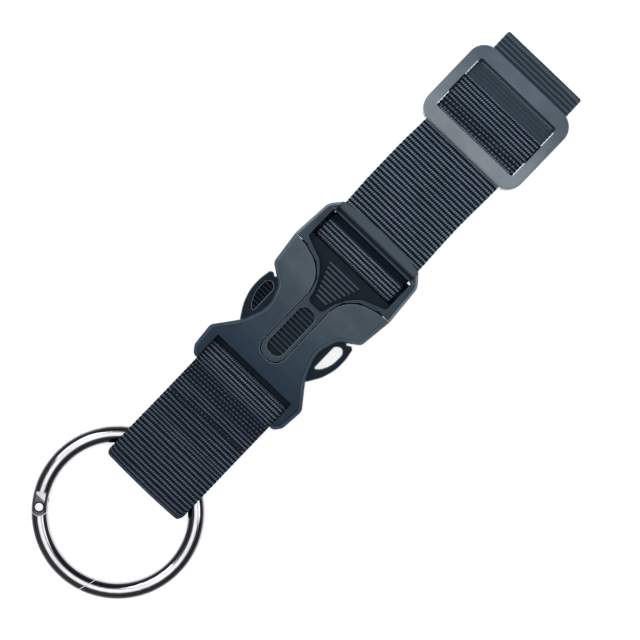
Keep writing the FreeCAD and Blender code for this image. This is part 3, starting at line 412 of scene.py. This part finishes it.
def metal_material(name, tint, roughness, rivet=None):
    """Polished dark nickel with handling marks and fine pits.

    rivet is the rivet's centre on a ring's wire. The metal is darker round it and on the flat that
    it sits on, apart from a brighter patch, which is a painted reflection. The dark bands along the
    wire's two sides are painted: they stand for the dark surroundings that such a ring mirrors, and
    aren't on the metal itself.
    """
    m = Nodes(name)
    place = m.object_position()
    marks = m.noise(place, 1400.0, 4.0, 0.65)
    smear = m.noise(place, 110.0, 3.0, 0.6)
    wear_and_shade = [channel * 0.82 for channel in tint[:3]] + [1.0]
    base = m.mix(m.smooth(smear, 0.35, 0.7), tint, wear_and_shade)
    rough = m.plus(m.smooth(smear, 0.3, 0.75, roughness, roughness + 0.07), m.times(marks, 0.04))
    if rivet is not None:
        x, y, z = m.parts(place)
        away_x = m.math("SUBTRACT", x, rivet.x * MM)
        away_y = m.math("SUBTRACT", y, rivet.y * MM)
        away = m.math("SQRT", m.plus(m.times(away_x, away_x), m.times(away_y, away_y)))
        from_middle = m.math("ABSOLUTE", m.math("SUBTRACT", z, LEVEL * MM))
        ring_level = m.smooth(from_middle, RIVET_RING_LEVEL[0] * MM, RIVET_RING_LEVEL[1] * MM)
        ring = m.times(m.within(away, *RIVET_RING), ring_level)
        base = m.mix(m.times(ring, 0.93), base, RIVET_RING_DARK)
        rough = m.plus(rough, m.times(ring, 0.3))
        flat = m.within(from_middle, *FLAT_LEVEL)
        flat = m.times(flat, m.smooth(away, FLAT_REACH[1] * MM, FLAT_REACH[0] * MM))
        # shine is a painted reflection: a brighter patch on the darker flat.
        shine = m.within(away_x, *FLAT_SHINE)
        flat = m.times(flat, m.math("SUBTRACT", 1.0, m.times(shine, 0.8)))
        base = m.mix(m.times(flat, 0.9), base, FLAT_DARK)
        facing = m.math("ABSOLUTE", m.facing_up())
        side = m.times(m.smooth(facing, *SIDE_TOP), m.smooth(facing, *SIDE_RIM))
        base = m.mix(m.times(side, 0.93), base, SIDE_SHADE)
    m.set(Base_Color=base, Metallic=1.0, Roughness=rough, Normal=m.bump(marks, 0.04, 0.00004))
    return m.material


WEBBING = webbing_material()
THREAD = thread_material()
SOCKET_TONES = (
    (SOCKET_LOW + 9.0, (0.013, 0.037, 0.073, 1.0)),
    (SOCKET_LOW + 22.0, (0.038, 0.073, 0.108, 1.0)),
    (SOCKET_LOW + 42.0, (0.110, 0.154, 0.192, 1.0)),
)
PLUG_TONES = (
    (PLUG_HIGH - 18.0, (0.055, 0.088, 0.122, 1.0)),
    (PLUG_HIGH, (0.040, 0.070, 0.100, 1.0)),
)
# The slider's grey turns paler towards its low end; that paleness is a painted highlight on the low end
# bar.
SLIDER_TONES = (
    (SLIDER_LOW.x + 3.0, (0.34, 0.40, 0.45, 1.0)),
    (SLIDER_HIGH.x - 3.0, (0.155, 0.205, 0.26, 1.0)),
)
PLUG_BAR_WIDTH = 3.25
FUNNEL_FROM_SOCKET = 33.0
SOCKET_EDGE_LEVEL = 9.2
PLUG_EDGE_LEVEL = 8.72
PRONG_EDGE_LEVEL = 7.1
SLIDER_EDGE_LEVEL = 7.9

BUCKLE = plastic_material("buckle_plastic", SOCKET_TONES, 0.38, EDGE_TINT, SOCKET_EDGE_LEVEL)
PLUG = plastic_material("plug_plastic", PLUG_TONES, 0.38, EDGE_TINT, PLUG_EDGE_LEVEL,
                        bar_from=PLUG_HIGH - PLUG_BAR_WIDTH, ribs_from=SOCKET_LOW + FUNNEL_FROM_SOCKET)
PRONG = plastic_material("prong_plastic", PLUG_TONES, 0.40, EDGE_TINT, PRONG_EDGE_LEVEL)
SLIDER = plastic_material("slider_plastic", SLIDER_TONES, 0.36, SLIDER_EDGE_TINT, SLIDER_EDGE_LEVEL)
RING_METAL = metal_material("ring_metal", (0.62, 0.63, 0.66, 1.0), 0.10, RIVET)
PIN_METAL = metal_material("pin_metal", (0.75, 0.76, 0.78, 1.0), 0.22)


# --- Mesh helpers ----------------------------------------------------------------------------------
def make_object(name, vertices, faces, face_uvs, material, attributes=None):
    """A smooth closed mesh in the scene, its vertices in metres, with UVs and point attributes."""
    mesh = bpy.data.meshes.new(name)
    mesh.from_pydata(vertices, [], faces)
    layer = mesh.uv_layers.new(name="weave")
    layer.data.foreach_set("uv", np.array(face_uvs, np.float32).ravel())
    for label, values in (attributes or {}).items():
        attribute = mesh.attributes.new(label, "FLOAT", "POINT")
        attribute.data.foreach_set("value", np.array(values, np.float32))
    mesh.polygons.foreach_set("use_smooth", [True] * len(mesh.polygons))
    mesh.update()
    work = bmesh.new()
    work.from_mesh(mesh)
    bmesh.ops.recalc_face_normals(work, faces=work.faces)
    work.to_mesh(mesh)
    work.free()
    mesh.materials.append(material)
    obj = bpy.data.objects.new(name, mesh)
    bpy.context.scene.collection.objects.link(obj)
    return obj


def ease(value, low, high):
    """0 below low and 1 above high, with a smooth step between."""
    share = min(1.0, max(0.0, (value - low) / (high - low)))
    return share * share * (3 - 2 * share)


# --- Webbing ---------------------------------------------------------------------------------------
STEP = 0.17
EASING = 0.9
RIB_DEPTH = 0.42
CREST_RISE = 0.06
BACK_SINK = 0.05
PLAIN_FLATTENS = 0.75
SELVAGE_DEPTH = 0.12
SELVAGE_REACH = 0.2
EDGE_ROUND = 0.5
EDGE_SHARE = 0.42
RIB_WANDER = 0.11
CREST_FLANK = (0.14, 0.36)
# The back face is darker and flatter than the front: painted shade.
BACK_GAIN = 0.4
BACK_PLAIN = 0.5
EDGE_INSETS = (0.0, 0.12, 0.35, 0.8, 1.6)
INNER_COLUMNS = 17


def arc(centre_x, radius, start, end, count=24):
    """Points (x, z) on an arc about (centre_x, LEVEL), its angles in degrees."""
    points = []
    for index in range(count + 1):
        angle = math.radians(start + (end - start) * index / count)
        points.append((centre_x + radius * math.cos(angle), LEVEL + radius * math.sin(angle)))
    return points


def even_path(points, closed):
    """The path in even steps with its corners eased, and its length."""
    path = np.array(points + points[:1] if closed else points)
    lengths = np.hypot(*(path[1:] - path[:-1]).T)
    total = np.concatenate(([0.0], np.cumsum(lengths)))
    count = int(round(total[-1] / STEP))
    spots = np.arange(count) * total[-1] / count
    even = np.stack([np.interp(spots, total, path[:, axis]) for axis in (0, 1)], axis=1)
    if not closed:
        return even, total[-1]
    reach = int(EASING / STEP)
    kernel = np.hanning(2 * reach + 3)[1:-1]
    kernel /= kernel.sum()
    smooth = np.zeros_like(even)
    for offset, weight in zip(range(-reach, reach + 1), kernel):
        smooth += weight * np.roll(even, offset, axis=0)
    return smooth, total[-1]


def columns():
    """The y of each lengthwise line of the webbing's mesh, closer together near its edges."""
    inside = HALF_WIDTH - EDGE_INSETS[-1]
    middle = [inside * (2 * index / (INNER_COLUMNS + 1) - 1) for index in range(1, INNER_COLUMNS + 1)]
    low = [-(HALF_WIDTH - inset) for inset in EDGE_INSETS]
    return low + middle + [-value for value in reversed(low)]


def path_normals(path, closed):
    """Unit normals in the path's own plane, pointing out of a loop, or up from an open path."""
    ahead = np.gradient(path, axis=0)
    if closed:
        ahead = np.roll(path, -1, axis=0) - np.roll(path, 1, axis=0)
    ahead /= np.hypot(*ahead.T)[:, None]
    normal = np.stack([ahead[:, 1], -ahead[:, 0]], axis=1)
    outward = (path - path.mean(axis=0)) * normal if closed else normal * (0, 1)
    return -normal if outward.sum() < 0 else normal


def webbing_faces(count, wide, uvs, rib_total, closed):
    """Faces and their UVs for two layers of count by wide vertices, joined along their borders."""
    faces, face_uvs = [], []
    back = count * wide

    def quad(corners, wraps):
        faces.append(corners)
        for corner in corners:
            u, v = uvs[corner]
            face_uvs.append((u, v + rib_total if wraps and v < rib_total / 2 else v))

    for index in range(count if closed else count - 1):
        following = (index + 1) % count
        wraps = following == 0
        for column in range(wide - 1):
            a, b = index * wide + column, index * wide + column + 1
            c, d = following * wide + column + 1, following * wide + column
            quad((a, b, c, d), wraps)
            quad((back + d, back + c, back + b, back + a), wraps)
        for column in (0, wide - 1):
            a, d = index * wide + column, following * wide + column
            quad((a, d, back + d, back + a), wraps)
    if not closed:
        for first in (0, (count - 1) * wide):
            for column in range(first, first + wide - 1):
                quad((column, column + 1, back + column + 1, back + column), False)
    return faces, face_uvs


def webbing(name, points, look, shift, closed=True, thickness=WEB, rib_depth=RIB_DEPTH):
    """Ribbed webbing along points (x, z), both faces and both edges, and its length.

    look(x, z) gives rib pitch, gain, dots and plain there; shift(x, y) moves a point in x and y.
    """
    path, length = even_path(points, closed)
    count = len(path)
    normal = path_normals(path, closed)
    looks = np.array([look(*spot) for spot in path])
    ribs = np.cumsum(length / count / looks[:, 0])
    if closed:
        ribs *= round(ribs[-1]) / ribs[-1]
    across = columns()
    vertices, uvs = [], []
    attributes = {"gain": [], "dots": [], "plain": []}
    for outside in (True, False):
        for index in range(count):
            _, gain, dots, plain = looks[index]
            depth = rib_depth * (1 - PLAIN_FLATTENS * plain)
            for y in across:
                inset = HALF_WIDTH - abs(y)
                rounding = math.sqrt(min(1.0, inset / EDGE_ROUND))
                edge = min(1.0, EDGE_SHARE + (1 - EDGE_SHARE) * rounding)
                spot = Vector((y * 0.16, math.floor(ribs[index]) * 0.7, 3.0))
                wander = RIB_WANDER * noise.noise(spot)
                phase = (ribs[index] + wander) % 1.0
                crest = 1 - ease(abs(phase - 0.5), *CREST_FLANK)
                reach = BACK_SINK - thickness / 2
                if outside:
                    reach = thickness / 2 + CREST_RISE - depth * (1 - crest)
                place = path[index] + normal[index] * reach * edge
                selvage = SELVAGE_DEPTH * (crest - 1) if inset < SELVAGE_REACH else 0.0
                x, out = shift(place[0], y + math.copysign(selvage, y) if y else y)
                vertices.append((x * MM, out * MM, place[1] * MM))
                uvs.append((y, ribs[index] + wander))
                # The back face takes BACK_GAIN and BACK_PLAIN: painted shade.
                attributes["gain"].append(gain if outside else BACK_GAIN)
                attributes["dots"].append(dots if outside else 0.0)
                attributes["plain"].append(plain if outside else BACK_PLAIN)
    faces, face_uvs = webbing_faces(count, len(across), uvs, ribs[-1], closed)
    return make_object(name, vertices, faces, face_uvs, WEBBING, attributes), length


# Where the webbing's look changes, in millimetres from the ring's centre
RIB_PITCH = 1.39
FINE_RIB_PITCH = 1.22
FINE_RIBS_FROM = (37.0, 41.0)
RING_DOTS = ((42.5, 44.5), (49.0, 50.5))
RING_LIGHTER_FROM = (12.0, 17.0)
SOCKET_LIGHTER_FROM = (49.0, 52.0)
LOOP_RIB_PITCH = 1.41
# WINDOW_START darkens the loop where it runs in under the plug's window, and WINDOW_PLAIN darkens and
# flattens it where it slopes down under the plug's end bar: both are painted shade.
WINDOW_START = (101.9, 103.0)
WINDOW_RIBS_END = (107.2, 108.2)
WINDOW_PLAIN = ((107.4, 108.2), (111.8, 113.0))
LOOP_FADE = (150.0, 175.0)
FAR_HAZE = (172.0, 178.0)

# How the fold at the ring is bowed and its corners rounded, in millimetres. FOLD_CORNER is how far
# from the webbing's edge a corner's rounding starts and ends.
FOLD_REACH = (1.0, 7.0)
FOLD_BOW = 0.35
FOLD_CORNER = (1.5, -0.3)
FOLD_CORNER_DEPTH = 0.8
LOW_CORNER_EXTRA = 0.5

# How the long stretch strays sideways, in millimetres
LEAN_FROM = 114.0
LEAN_LENGTH = 36.0
LEAN = 0.40
EDGE_WANDER = 0.10


def between(at, rise, fall):
    return ease(at, *rise) * (1 - ease(at, *fall))


def ring_strap_path():
    """Round the ring's wire, along both layers and round the socket's bar."""
    ring_x = RING_FOLD + RING_BEND + WEB / 2
    bend = SOCKET_BAR_BEND
    straight = RING.x + RING_OUTER + RING_TAPER_START
    join = RING.x + RING_OUTER + RING_TAPER_END
    wedge = BAR.x - BAR_WEDGE
    tangent = BAR.x - BAR_TANGENT
    points = [(join, LEVEL + STACK), (wedge, LEVEL + STACK), (tangent, LEVEL + bend)]
    points += arc(BAR.x, bend, 90, -90)
    points += [(tangent, LEVEL - bend), (wedge, LEVEL - STACK), (join, LEVEL - STACK)]
    points += [(straight, LEVEL - RING_BEND)]
    points += arc(ring_x, RING_BEND, -90, -270)
    points += [(straight, LEVEL + RING_BEND)]
    return points


def ring_strap_look(x, z):
    at = x - RING.x
    dots = between(at, *RING_DOTS) * (z > LEVEL)
    pitch = RIB_PITCH + (FINE_RIB_PITCH - RIB_PITCH) * ease(at, *FINE_RIBS_FROM)
    gain = 0.45 + 0.12 * ease(at, *RING_LIGHTER_FROM) + 0.28 * ease(at, *SOCKET_LIGHTER_FROM)
    return pitch, gain, dots, 0.0


def ring_strap_shift(x, y):
    """The fold at the ring bows a little and its corners are rounded."""
    side = abs(y) / HALF_WIDTH
    at_fold = 1 - ease(x - RING_FOLD, *FOLD_REACH)
    corner = ease(abs(y), HALF_WIDTH - FOLD_CORNER[0], HALF_WIDTH - FOLD_CORNER[1])
    corner_depth = FOLD_CORNER_DEPTH + (LOW_CORNER_EXTRA if y < 0 else 0.0)
    return x + at_fold * (FOLD_BOW * side ** 2 + corner_depth * corner ** 2), y


def loop_strap_path():
    """Along both layers from the far fold and round the plug's bar."""
    bend = PLUG_BAR_BEND
    bar_x = LOOP_LOW.x + bend + WEB / 2
    wedge = bar_x + BAR_WEDGE
    tangent = bar_x + BAR_TANGENT
    far_x = LOOP_HIGH.x - STACK - WEB / 2
    points = [(far_x, LEVEL - STACK), (wedge, LEVEL - STACK), (tangent, LEVEL - bend)]
    points += arc(bar_x, bend, -90, -270)
    points += [(tangent, LEVEL + bend), (wedge, LEVEL + STACK)]
    points += arc(far_x, STACK, 90, -90, 8)
    return points


def loop_strap_look(x, z):
    at = x - RING.x
    in_window = 1 - ease(at, *WINDOW_RIBS_END)
    plain = between(at, *WINDOW_PLAIN) * (z > LEVEL)
    far = 0.62 * ease(at, *FAR_HAZE) * (z > LEVEL)
    pitch = LOOP_RIB_PITCH - 0.2 * in_window
    gain = 1.0 - 0.12 * ease(at, *LOOP_FADE) + 0.08 * in_window
    # Painted shade where the loop runs in under the window and where it slopes down under the end bar.
    gain *= ease(at, *WINDOW_START) * (1 - plain)
    return pitch, gain, 0.0, max(plain, far)


def loop_strap_shift(x, y):
    """The long stretch lies a touch to one side, and its edges wander slightly."""
    at = x - RING.x
    span = max(0.0, min(1.0, (at - LEAN_FROM) / LEAN_LENGTH))
    lean = LEAN * math.sin(math.pi * span) ** 2
    spot = Vector((at * 0.11, math.copysign(2.0, y), 1.0))
    edge = EDGE_WANDER * noise.noise(spot) * abs(y) / HALF_WIDTH
    return x, y + lean + edge


# The webbing's rise over the slider's centre bar: (x from the window's start, height), in millimetres
HUMP_RISE = ((1.2, 0.55), (3.4, 1.1), (5.8, 1.62), (9.0, 1.75), (12.2, 1.6), (14.6, 1.2), (16.8, 0.7),
             (18.4, 0.35))
HUMP_START_RISE = 0.2
HUMP_END_RISE = 0.15
HUMP_OVERLAP = 0.3
HUMP_SAMPLES = 90
HUMP_SMOOTHING = 13
HUMP_THICKNESS = 0.7
HUMP_RIB_DEPTH = 0.3
HUMP_RIB_PITCH = 1.30
HUMP_WIDENING = 1.033
HUMP_DOTS_END = (4.6, 6.0)
# From HUMP_PLAIN_FROM the webbing slopes down past the centre bar and is painted in shade.
HUMP_PLAIN_FROM = (12.6, 13.8)


def hump_path():
    """The webbing that rises over the slider's centre bar inside its window."""
    low = SLIDER_LOW.x + SLIDER_BAR
    high = SLIDER_HIGH.x - SLIDER_BAR
    top = LEVEL + STACK
    heights = [(-HUMP_OVERLAP, HUMP_START_RISE), *HUMP_RISE, (high - low + HUMP_OVERLAP, HUMP_END_RISE)]
    controls = np.array([(low + along, top + rise) for along, rise in heights])
    fine = np.linspace(controls[0, 0], controls[-1, 0], HUMP_SAMPLES)
    level = np.interp(fine, controls[:, 0], controls[:, 1])
    kernel = np.hanning(HUMP_SMOOTHING)[1:-1]
    padded = np.pad(level, len(kernel) // 2, mode="edge")
    smooth = np.convolve(padded, kernel / kernel.sum(), "valid")
    return list(zip(fine.tolist(), smooth.tolist()))


def hump_look(x, z):
    at = x - (SLIDER_LOW.x + SLIDER_BAR)
    dots = 1 - ease(at, *HUMP_DOTS_END)
    # plain here is painted shade on the slope down past the centre bar.
    plain = ease(at, *HUMP_PLAIN_FROM)
    return HUMP_RIB_PITCH, 0.80 + 0.1 * (1 - plain), dots, plain


def hump_shift(x, y):
    return x, y * HUMP_WIDENING


ring_web, ring_length = webbing("ring_webbing", ring_strap_path(), ring_strap_look, ring_strap_shift)
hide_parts("ring_strap", "ring_strap_loop")
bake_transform(ring_web)

loop_web, loop_length = webbing("loop_webbing", loop_strap_path(), loop_strap_look, loop_strap_shift)
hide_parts("loop_strap")
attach(loop_web, "plug")

hump, hump_length = webbing("slider_webbing", hump_path(), hump_look, hump_shift, closed=False,
                            thickness=HUMP_THICKNESS, rib_depth=HUMP_RIB_DEPTH)
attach(hump, "slider")


# --- Sewing ----------------------------------------------------------------------------------------
TUBE_SIDES = 7
TUBE_END = 0.45
STITCH_STEPS = 6

# In millimetres
BARTACK_STITCHES = 46
BARTACK_RADIUS = 0.21
BARTACK_RISE = 0.10
BARTACK_SLANT = 1.1
BARTACK_JITTER = 0.12
BARTACK_MARGIN = 0.3
BARTACK_INSET = 0.2
STITCH_PITCH = 2.3
STITCH_LENGTH = 1.75
STITCH_RADIUS = 0.2
STITCH_RISE = 0.12
STITCH_JITTER = 0.08
ROW_INSET = 0.3


class Thread:
    """Collects short lengths of sewing thread into one mesh."""

    def __init__(self):
        self.vertices, self.faces, self.face_uvs = [], [], []

    def add(self, points, radius):
        """A tube of thread along the points, narrowed at its two ends."""
        start = len(self.vertices)
        spots = [Vector(point) for point in points]
        run = 0.0
        uvs = []
        for index, spot in enumerate(spots):
            before = spots[max(index - 1, 0)]
            after = spots[min(index + 1, len(spots) - 1)]
            ahead = (after - before).normalized()
            side = ahead.cross(Vector((0, 0, 1))).normalized()
            up = side.cross(ahead)
            run += (spot - before).length
            end = TUBE_END if index in (0, len(spots) - 1) else 1.0
            for turn in range(TUBE_SIDES):
                angle = 2 * math.pi * turn / TUBE_SIDES
                place = spot + (side * math.cos(angle) + up * math.sin(angle)) * radius * end
                self.vertices.append(tuple(place * MM))
                uvs.append((run, turn / TUBE_SIDES))
        rings = len(spots)

        def face(corners):
            self.faces.append(tuple(start + corner for corner in corners))
            self.face_uvs.extend(uvs[corner] for corner in corners)

        for index in range(rings - 1):
            for turn in range(TUBE_SIDES):
                following = (turn + 1) % TUBE_SIDES
                low, high = index * TUBE_SIDES, (index + 1) * TUBE_SIDES
                face((low + turn, low + following, high + following, high + turn))
        face(tuple(reversed(range(TUBE_SIDES))))
        face(tuple((rings - 1) * TUBE_SIDES + turn for turn in range(TUBE_SIDES)))

    def stitch(self, start, end, rise, radius):
        """One stitch that bows out of the cloth between two holes."""
        start, end = Vector(start), Vector(end)
        points = []
        for index in range(STITCH_STEPS + 1):
            share = index / STITCH_STEPS
            inside = 0 < index < STITCH_STEPS
            lift = rise * math.sin(math.pi * share) ** 0.6 if inside else -rise
            points.append(start.lerp(end, share) + Vector((0, 0, lift)))
        self.add(points, radius)

    def finish(self, node, body):
        obj = make_object(node + "_thread", self.vertices, self.faces, self.face_uvs, THREAD)
        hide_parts(node)
        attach(obj, body)


def bartack():
    """Dense zigzag across both faces of the ring strap, running slightly aslant."""
    low, high = box("ring_strap_bartack")
    thread = Thread()
    start = low.y + BARTACK_MARGIN
    span = high.y - low.y - 2 * BARTACK_MARGIN
    for face_z, way in ((LEVEL + STACK + WEB / 2, 1), (LEVEL - STACK - WEB / 2, -1)):
        spots = []
        for index in range(BARTACK_STITCHES + 1):
            share = index / BARTACK_STITCHES
            lean = BARTACK_SLANT * (0.5 - share)
            jitter = BARTACK_JITTER * noise.noise(Vector((index * 0.9, 5.0 * way, 0.0)))
            x = low.x + BARTACK_INSET if index % 2 else high.x - BARTACK_INSET
            spots.append((x + lean + jitter, start + span * share, face_z))
        for first, second in zip(spots, spots[1:]):
            thread.stitch(first, second, BARTACK_RISE * way, BARTACK_RADIUS)
    thread.finish("ring_strap_bartack", "ring_strap")


def stitch_rows(node, body, rows):
    """Straight lockstitch rows across the strap's back."""
    low, high = box(node)
    thread = Thread()
    first_x, last_x = low.x + ROW_INSET, high.x - ROW_INSET
    count = int((high.y - low.y) / STITCH_PITCH)
    start = -(count - 1) * STITCH_PITCH / 2
    for row in range(rows):
        x = first_x + (last_x - first_x) * row / (rows - 1) if rows > 1 else (low.x + high.x) / 2
        for index in range(count):
            jitter = STITCH_JITTER * noise.noise(Vector((index * 1.7, row * 3.0, 9.0)))
            y = start + index * STITCH_PITCH + jitter
            ends = [(x, y + side * STITCH_LENGTH / 2, LEVEL - STACK - WEB / 2) for side in (-1, 1)]
            thread.stitch(ends[0], ends[1], -STITCH_RISE, STITCH_RADIUS)
    thread.finish(node, body)


bartack()
stitch_rows("ring_strap_stitches", "ring_strap", 1)
stitch_rows("loop_seam_stitches", "plug", 2)


# --- Carried-over CAD nodes ------------------------------------------------------------------------
SHARP_ANGLE = 32


def dress(material, *names):
    """Give CAD nodes their material and smooth shading, with flat faces kept flat."""
    for name in names:
        mesh = nodes[name].data
        mesh.materials.clear()
        mesh.materials.append(material)
        mesh.polygons.foreach_set("use_smooth", [True] * len(mesh.polygons))
        mesh.set_sharp_from_angle(angle=math.radians(SHARP_ANGLE))
        mesh.update()
        modifier = nodes[name].modifiers.new("flat faces stay flat", "WEIGHTED_NORMAL")
        modifier.keep_sharp = True
        modifier.weight = 100


dress(BUCKLE, "buckle_socket")
dress(PRONG, "plug_prong_left", "plug_prong_right")
dress(PLUG, "buckle_plug")
dress(SLIDER, "strap_slider")
dress(RING_METAL, "ring_body", "ring_gate")
dress(PIN_METAL, "gate_pivot_pin", "gate_plunger", "gate_spring")


# --- Stage -----------------------------------------------------------------------------------------
# In metres
FLOOR_REACH = 4.0
FLOOR_DROP = 0.0003
LAMP_SIZE = 0.35
FLOOR_GLOW = 0.72
ROOM_STRENGTH = 1.7
ROOM_LEVELS = ((0.0, 0.5), (0.2, 0.45), (0.34, 0.035), (0.86, 0.03), (0.95, 0.8), (1.0, 1.0))

# The view: straight down, in millimetres and degrees
VIEW_CENTRE = (83.8, -3.9)
VIEW_WIDTH = 192.6
VIEW_TURN = -46.25
LENS = 135.0
SENSOR = 36.0


def stage():
    drop = CAD_BOX[0].z - FLOOR_DROP
    corners = [(-1, -1), (1, -1), (1, 1), (-1, 1)]
    mesh = bpy.data.meshes.new("floor")
    mesh.from_pydata([(x * FLOOR_REACH, y * FLOOR_REACH, drop) for x, y in corners], [], [(0, 1, 2, 3)])
    floor = bpy.data.objects.new("floor", mesh)
    bpy.context.scene.collection.objects.link(floor)
    m = Nodes("floor")
    m.set(Base_Color=(0.85, 0.85, 0.85, 1.0), Roughness=0.95, Specular_IOR_Level=0.05,
          Emission_Color=(1.0, 1.0, 1.0, 1.0), Emission_Strength=FLOOR_GLOW)
    mesh.materials.append(m.material)


def studio_world():
    """A room with a soft bright ceiling light, dark upper walls and pale lower walls."""
    world = bpy.data.worlds.new("studio")
    bpy.context.scene.world = world
    world.use_nodes = True
    tree = world.node_tree
    background = tree.nodes["Background"]
    place = tree.nodes.new("ShaderNodeTexCoord")
    split = tree.nodes.new("ShaderNodeSeparateXYZ")
    ramp = tree.nodes.new("ShaderNodeValToRGB")
    tree.links.new(place.outputs["Generated"], split.inputs[0])
    tree.links.new(split.outputs[2], ramp.inputs[0])
    tree.links.new(ramp.outputs[0], background.inputs[0])
    stops = ramp.color_ramp.elements
    for index, (height, level) in enumerate(ROOM_LEVELS):
        stop = stops[index] if index < 2 else stops.new(height)
        stop.position = height
        stop.color = (level, level, level, 1.0)
    background.inputs[1].default_value = ROOM_STRENGTH


def area_light(name, place, power):
    """A square lamp at a place in metres, aimed at the origin."""
    lamp = bpy.data.lights.new(name, "AREA")
    lamp.shape = "RECTANGLE"
    lamp.size = LAMP_SIZE
    lamp.size_y = LAMP_SIZE
    lamp.energy = power
    obj = bpy.data.objects.new(name, lamp)
    obj.location = place
    obj.rotation_euler = (-Vector(place)).to_track_quat("-Z", "Y").to_euler()
    bpy.context.scene.collection.objects.link(obj)


def camera():
    data = bpy.data.cameras.new("camera")
    data.lens = LENS
    data.sensor_width = SENSOR
    data.clip_start = 0.01
    obj = bpy.data.objects.new("camera", data)
    bpy.context.scene.collection.objects.link(obj)
    look = Vector((RING.x + VIEW_CENTRE[0], VIEW_CENTRE[1], LEVEL)) * MM
    distance = VIEW_WIDTH * MM * LENS / SENSOR
    obj.location = look + Vector((0, 0, distance))
    obj.rotation_euler = (0, 0, math.radians(VIEW_TURN))
    bpy.context.scene.camera = obj


stage()
studio_world()
area_light("key", (0.0, 0.51, 0.61), 1.3)
area_light("fill", (0.35, -0.38, 0.61), 0.8)
camera()
bpy.context.scene.view_settings.view_transform = "Standard"
